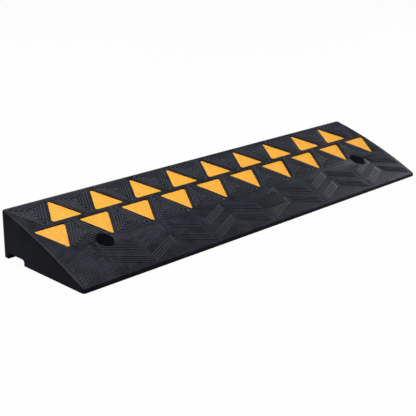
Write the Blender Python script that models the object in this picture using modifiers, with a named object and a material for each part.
"""Rubber kerb ramp with reflective triangles, for Blender 4.5. Metres, +Z up.

The ramp lies on the road with its thin toe towards -Y and its tall back face, which meets the kerb,
towards +Y. X runs along the kerb. The origin is at the centre of the footprint, on the road.
One moulded rubber body carries two rows of reflective triangles in flat-floored pockets. Two stepped bolt
holes each hold a steel washer. The underside has a cable and drain channel and a grid of hollow cells.
"""

import math

import bmesh
import bpy
from mathutils import Matrix, Vector

# Overall size
LENGTH = 1.000
DEPTH = 0.238
HEIGHT = 0.0932  # where the top and the back would meet, before that edge is rounded
TOE_HEIGHT = 0.0080  # the same at the toe
CROWN = 0.007  # how far the top bulges above a straight line from toe to back
CROWN_FACETS = 12

# Moulded edges
CORNER_RADIUS = 0.0055  # the four upright corners
TOP_EDGE_RADIUS = 0.003
CORNER_STEPS = 3  # facets in each rounded corner

# Cable and drain channel under the back
CHANNEL_WIDTH = 0.050
CHANNEL_HEIGHT = 0.0115
CHANNEL_BACK_WALL = 0.015
CHANNEL_FILLET = 0.005

# Bolt holes
BOLT_INSET = 0.117  # from each end
BOLT_PAST_APEX = 0.006  # from the front row's sharp corners towards the toe
HEAD_RECESS_RADIUS = 0.0175
SHANK_RADIUS = 0.007
BOLT_SEAT_HEIGHT = 0.014
BOSS_WALL = 0.010  # solid rubber kept round a head recess
ROUND_STEPS = 32

# Steel washers on the bolt seats
WASHER_THICKNESS = 0.003
WASHER_SIDE_CLEARANCE = 0.001
WASHER_BORE_CLEARANCE = 0.0002  # the bore is this much smaller in radius than the rubber's hole
REST_GAP = 0.0003  # left between pieces that rest on each other

# Reflective triangles, measured on the slope
LOWER_COUNT = 10
UPPER_COUNT = LOWER_COUNT - 1
TRIANGLE_BASE = 0.0727
TRIANGLE_HEIGHT = 0.0671
TRIANGLE_CORNER = 0.0042
TRIANGLE_END_MARGIN = 0.0077  # from the end of the ramp to the first sharp corner
APEX_FROM_BACK = 0.0102  # from the back row's sharp corners to the back face
ROW_GAP = 0.0095
POCKET_DEPTH = 0.0045
POCKET_CLEARANCE = 0.0004
REFLECTOR_THICKNESS = 0.0018

# Hollow cells of the underside
CELL_LENGTH = 0.070  # wanted, and rounded to fit
CELL_ROWS = 3
CELL_WALL = 0.010
CELL_ROOF = 0.012
CELL_FROM_TOE = 0.040
CELL_END_WALL = 0.015
CELL_DRAFT = 0.0015

CUT_MARGIN = 0.010  # how far a cutter reaches past the surface that it opens

RUBBER = ("rubber", (0.030, 0.031, 0.035, 1.0), 0.75, 0.0)
REFLECTIVE = ("reflective_sheet", (0.87, 0.43, 0.06, 1.0), 0.45, 0.0)
STEEL = ("zinc_plated_steel", (0.55, 0.55, 0.56, 1.0), 0.35, 1.0)

TOE_Y = -DEPTH / 2
BACK_Y = DEPTH / 2


# Shape of the top

def crown_arc():
    """Centre (y, z) and radius of the arc from the toe's top edge to the back's top edge."""
    toe, back = Vector((TOE_Y, TOE_HEIGHT)), Vector((BACK_Y, HEIGHT))
    chord = back - toe
    radius = chord.length**2 / (8 * CROWN) + CROWN / 2
    inward = Vector((chord.y, -chord.x)).normalized()
    return (toe + back) / 2 + inward * (radius - CROWN), radius


ARC_CENTRE, ARC_RADIUS = crown_arc()


def top_z(y):
    """Height of the crowned top at y."""
    return ARC_CENTRE.y + math.sqrt(ARC_RADIUS**2 - (y - ARC_CENTRE.x) ** 2)


def top_slope(y):
    """Angle of the crowned top above the horizontal at y."""
    return math.asin((ARC_CENTRE.x - y) / ARC_RADIUS)


# Helpers

def new_collection(name):
    collection = bpy.data.collections.new(name)
    bpy.context.scene.collection.children.link(collection)
    return collection


def new_material(name, colour, roughness, metallic):
    material = bpy.data.materials.new(name)
    material.use_nodes = True
    shader = material.node_tree.nodes["Principled BSDF"]
    shader.inputs["Base Color"].default_value = colour
    shader.inputs["Roughness"].default_value = roughness
    shader.inputs["Metallic"].default_value = metallic
    return material


def object_from_bmesh(name, bm, collection):
    mesh = bpy.data.meshes.new(name)
    bm.to_mesh(mesh)
    bm.free()
    obj = bpy.data.objects.new(name, mesh)
    collection.objects.link(obj)
    return obj


def extruded_outline(name, outline, low, high, collection):
    """A closed solid with this flat (x, y) outline, from z low to high."""
    curve = bpy.data.curves.new(name, "CURVE")
    curve.dimensions = "2D"
    curve.fill_mode = "BOTH"
    curve.extrude = (high - low) / 2
    spline = curve.splines.new("POLY")
    spline.points.add(len(outline) - 1)
    for point, (x, y) in zip(spline.points, outline):
        point.co = (x, y, 0, 1)
    spline.use_cyclic_u = True
    drawn = bpy.data.objects.new(name + "_outline", curve)
    bpy.context.scene.collection.objects.link(drawn)
    bpy.context.view_layer.update()
    mesh = bpy.data.meshes.new_from_object(drawn.evaluated_get(bpy.context.evaluated_depsgraph_get()))
    bpy.data.objects.remove(drawn)
    bm = bmesh.new()
    bm.from_mesh(mesh)
    bpy.data.meshes.remove(mesh)
    bmesh.ops.remove_doubles(bm, verts=bm.verts, dist=1e-6)
    bmesh.ops.translate(bm, verts=bm.verts, vec=(0, 0, (low + high) / 2))
    bmesh.ops.recalc_face_normals(bm, faces=bm.faces)
    return object_from_bmesh(name, bm, collection)


def turned_solid(name, profile, collection, closed=False):
    """A Screw of the (radius, z) profile about +Z. The profile runs down its outer side."""
    bm = bmesh.new()
    verts = [bm.verts.new((radius, 0, z)) for radius, z in profile]
    for first, second in zip(verts, verts[1:]):
        bm.edges.new((first, second))
    if closed:
        bm.edges.new((verts[-1], verts[0]))
    obj = object_from_bmesh(name, bm, collection)
    screw = obj.modifiers.new("Turn", "SCREW")
    screw.steps = screw.render_steps = ROUND_STEPS
    screw.use_merge_vertices = True
    screw.merge_threshold = 1e-5
    return obj


def corner_arc(last, corner, following, radius):
    """Points along an arc of this radius that rounds the corner between two straight edges."""
    corner = Vector(corner)
    to_last = (Vector(last) - corner).normalized()
    to_next = (Vector(following) - corner).normalized()
    half = to_last.angle(to_next) / 2
    centre = corner + (to_last + to_next).normalized() * radius / math.sin(half)
    start = corner + to_last * radius / math.tan(half) - centre
    end = corner + to_next * radius / math.tan(half) - centre
    turn = -start.angle_signed(end)
    turns = [turn * step / CORNER_STEPS for step in range(CORNER_STEPS + 1)]
    points = [centre + Matrix.Rotation(angle, 2) @ start for angle in turns]
    return [(point.x, point.y) for point in points]


def rounded(corners, radius):
    """The outline through corners, each one rounded to radius."""
    count = len(corners)
    arcs = [corner_arc(corners[i - 1], corners[i], corners[(i + 1) % count], radius) for i in range(count)]
    return [point for arc in arcs for point in arc]


def cut_away(obj, cutters):
    modifier = obj.modifiers.new("Cut", "BOOLEAN")
    modifier.operation = "DIFFERENCE"
    modifier.operand_type = "COLLECTION"
    modifier.collection = cutters


def hide_tools(collection):
    for tool in collection.objects:
        tool.hide_render = True
        tool.display_type = "WIRE"


# Triangles

def triangle_inradius():
    side = math.hypot(TRIANGLE_BASE / 2, TRIANGLE_HEIGHT)
    return TRIANGLE_BASE * TRIANGLE_HEIGHT / (TRIANGLE_BASE + 2 * side)


def triangle_corners(inradius):
    """The reflector's triangle scaled to this inradius about its incentre, apex towards +Y."""
    scale = inradius / triangle_inradius()
    half, height = TRIANGLE_BASE / 2 * scale, TRIANGLE_HEIGHT * scale
    return [(-half, -inradius), (half, -inradius), (0, height - inradius)]


def run(y, direction):
    """How far a triangle laid on the slope from y reaches across the ramp."""
    return TRIANGLE_HEIGHT * math.cos(top_slope(y + direction * TRIANGLE_HEIGHT / 2))


def row_bases():
    """The y of the straight base edge of the upper row's triangles, and of the lower row's."""
    apex = BACK_Y - APEX_FROM_BACK
    upper = apex - run(apex, -1)
    return upper, upper - ROW_GAP


def row_places():
    """For each row: name, count, y of the incentre, and 1 where the apex points up the slope or -1."""
    upper, lower = row_bases()
    rows = []
    for name, count, base, direction in (
        ("upper", UPPER_COUNT, upper, 1),
        ("lower", LOWER_COUNT, lower, -1),
    ):
        y = base + direction * triangle_inradius() * run(base, direction) / TRIANGLE_HEIGHT
        rows.append((name, count, y, direction))
    return rows


def pitch():
    """Spacing of the triangles along the ramp."""
    return (LENGTH - 2 * TRIANGLE_END_MARGIN - TRIANGLE_BASE) / (LOWER_COUNT - 1)


def along(count):
    """The x of each of count triangles, centred on the ramp."""
    return [(i - (count - 1) / 2) * pitch() for i in range(count)]


def place_on_slope(obj, x, y, direction):
    """Lays a flat object on the crowned top at (x, y), with its apex up or down the slope."""
    turned = Matrix.Rotation(0 if direction > 0 else math.pi, 4, "Z")
    tilt = Matrix.Rotation(top_slope(y), 4, "X")
    obj.matrix_world = Matrix.Translation((x, y, top_z(y))) @ tilt @ turned


# Body

def ramp_profile():
    """Outline (y, z) of a section: flat base, upright back and toe, rounded corners and crowned top."""
    crown = [(y, top_z(y)) for y in (TOE_Y + DEPTH * i / CROWN_FACETS for i in range(CROWN_FACETS + 1))]
    base = [(TOE_Y, 0), (BACK_Y, 0)]
    back_corner = corner_arc(base[1], crown[-1], crown[-2], TOP_EDGE_RADIUS)
    toe_corner = corner_arc(crown[1], crown[0], base[0], TOP_EDGE_RADIUS)
    return base + back_corner + crown[-2:0:-1] + toe_corner


def quarter_inset(from_end, radius):
    """How far a quarter round of this radius draws the surface in, at this distance from the end."""
    return radius - math.sqrt(max(0, radius**2 - max(0, radius - from_end) ** 2))


def end_stations():
    """Distances from an end at which a section is needed to round it."""
    distances = set()
    for radius in (CORNER_RADIUS, TOP_EDGE_RADIUS):
        for step in range(CORNER_STEPS + 1):
            turn = math.pi / 2 * step / CORNER_STEPS
            distances.add(round(radius * (1 - math.cos(turn)), 6))
    return sorted(distances)


def make_blank(collection):
    """A loft along X: every section is the profile, and those near an end are narrower and lower."""
    bm = bmesh.new()
    sections = []
    for sign in (-1, 1):
        for from_end in end_stations()[::-sign]:
            narrowing = 1 - quarter_inset(from_end, CORNER_RADIUS) / (DEPTH / 2)
            drop = quarter_inset(from_end, TOP_EDGE_RADIUS)
            x = sign * (LENGTH / 2 - from_end)
            places = [(x, y * narrowing, z - drop if z > 0 else 0) for y, z in ramp_profile()]
            sections.append([bm.verts.new(place) for place in places])
    for first, second in zip(sections, sections[1:]):
        for i in range(len(first)):
            bm.faces.new((first[i - 1], first[i], second[i], second[i - 1]))
    bm.faces.new(sections[0])
    bm.faces.new(sections[-1])
    bmesh.ops.recalc_face_normals(bm, faces=bm.faces)
    return object_from_bmesh("ramp_body", bm, collection)


def cut_pockets(cutters):
    corners = triangle_corners(triangle_inradius())
    outline = rounded(corners, TRIANGLE_CORNER)
    for name, count, y, direction in row_places():
        for i, x in enumerate(along(count)):
            cutter = extruded_outline(f"pocket_{name}_{i + 1}", outline, -POCKET_DEPTH, CUT_MARGIN, cutters)
            place_on_slope(cutter, x, y, direction)


def bolt_places():
    """Side, x and y of each bolt: just past the front row, where it misses the pockets."""
    base = row_bases()[1]
    y = base - run(base, -1) - BOLT_PAST_APEX
    return [(side, sign * (LENGTH / 2 - BOLT_INSET), y) for side, sign in (("left", -1), ("right", 1))]


def cut_bolt_holes(cutters):
    top = HEIGHT + CUT_MARGIN
    profile = [
        (0, top),
        (HEAD_RECESS_RADIUS, top),
        (HEAD_RECESS_RADIUS, BOLT_SEAT_HEIGHT),
        (SHANK_RADIUS, BOLT_SEAT_HEIGHT),
        (SHANK_RADIUS, -CUT_MARGIN),
        (0, -CUT_MARGIN),
    ]
    for side, x, y in bolt_places():
        cutter = turned_solid(f"bolt_hole_{side}", profile, cutters)
        cutter.location = (x, y, 0)


def cut_channel(cutters):
    """A groove open at both ends and at the road, with rounded upper corners."""
    back = BACK_Y - CHANNEL_BACK_WALL
    front = back - CHANNEL_WIDTH
    roof = rounded(
        [(front, -2 * CUT_MARGIN), (back, -2 * CUT_MARGIN), (back, CHANNEL_HEIGHT), (front, CHANNEL_HEIGHT)],
        CHANNEL_FILLET,
    )
    half = LENGTH / 2 + CUT_MARGIN
    cutter = extruded_outline("channel", roof, -half, half, cutters)
    cutter.matrix_world = Matrix(((0, 0, 1, 0), (1, 0, 0, 0), (0, 1, 0, 0), (0, 0, 0, 1)))


def share(start, end, count):
    """(low, high) of each of count equal cells between start and end, with walls between them."""
    size = (end - start - (count - 1) * CELL_WALL) / count
    lows = [start + i * (size + CELL_WALL) for i in range(count)]
    return [(low, low + size) for low in lows]


def cell_columns():
    """Where the cells lie along the ramp: in the stretches that the two solid bolt bosses leave."""
    boss = HEAD_RECESS_RADIUS + BOSS_WALL
    stops = [-LENGTH / 2 + CELL_END_WALL]
    for _, x, _ in bolt_places():
        stops += [x - boss, x + boss]
    stops.append(LENGTH / 2 - CELL_END_WALL)
    columns = []
    for start, end in zip(stops[::2], stops[1::2]):
        count = max(1, round((end - start + CELL_WALL) / (CELL_LENGTH + CELL_WALL)))
        columns += share(start, end, count)
    return columns


def cell_rows():
    back = BACK_Y - CHANNEL_BACK_WALL - CHANNEL_WIDTH - CELL_WALL
    return share(TOE_Y + CELL_FROM_TOE, back, CELL_ROWS)


def cut_cells(cutters):
    """Drafted boxes, each with its flat roof a constant wall below the top at the cell's lower side."""
    for i, (left, right) in enumerate(cell_columns()):
        for j, (front, back) in enumerate(cell_rows()):
            roof = top_z(front) - CELL_ROOF
            bm = bmesh.new()
            bmesh.ops.create_cube(bm, size=1)
            for vert in bm.verts:
                draft = CELL_DRAFT if vert.co.z > 0 else 0
                half_x = (right - left) / 2 - draft
                half_y = (back - front) / 2 - draft
                vert.co.x = (left + right) / 2 + math.copysign(half_x, vert.co.x)
                vert.co.y = (front + back) / 2 + math.copysign(half_y, vert.co.y)
                vert.co.z = roof if vert.co.z > 0 else -CUT_MARGIN
            object_from_bmesh(f"cell_{i + 1}_{j + 1}", bm, cutters)


# Pieces

def make_reflectors(parts, material):
    inset = triangle_inradius() - POCKET_CLEARANCE
    outline = rounded(triangle_corners(inset), TRIANGLE_CORNER - POCKET_CLEARANCE)
    floor = REST_GAP - POCKET_DEPTH
    for name, count, y, direction in row_places():
        for i, x in enumerate(along(count)):
            reflector = extruded_outline(
                f"reflector_{name}_{i + 1}", outline, floor, floor + REFLECTOR_THICKNESS, parts
            )
            reflector.data.materials.append(material)
            place_on_slope(reflector, x, y, direction)


def make_washers(parts, material):
    outer = HEAD_RECESS_RADIUS - WASHER_SIDE_CLEARANCE
    bore = SHANK_RADIUS - WASHER_BORE_CLEARANCE
    profile = [(outer, WASHER_THICKNESS), (outer, 0), (bore, 0), (bore, WASHER_THICKNESS)]
    for side, x, y in bolt_places():
        washer = turned_solid(f"bolt_washer_{side}", profile, parts, closed=True)
        washer.data.materials.append(material)
        washer.location = (x, y, BOLT_SEAT_HEIGHT + REST_GAP)


def main():
    for obj in list(bpy.data.objects):
        bpy.data.objects.remove(obj)
    parts = new_collection("rubber_kerb_ramp")
    cutters = new_collection("cutters")

    body = make_blank(parts)
    body.data.materials.append(new_material(*RUBBER))
    cut_pockets(cutters)
    cut_bolt_holes(cutters)
    cut_channel(cutters)
    cut_cells(cutters)
    cut_away(body, cutters)
    hide_tools(cutters)

    make_reflectors(parts, new_material(*REFLECTIVE))
    make_washers(parts, new_material(*STEEL))


main()
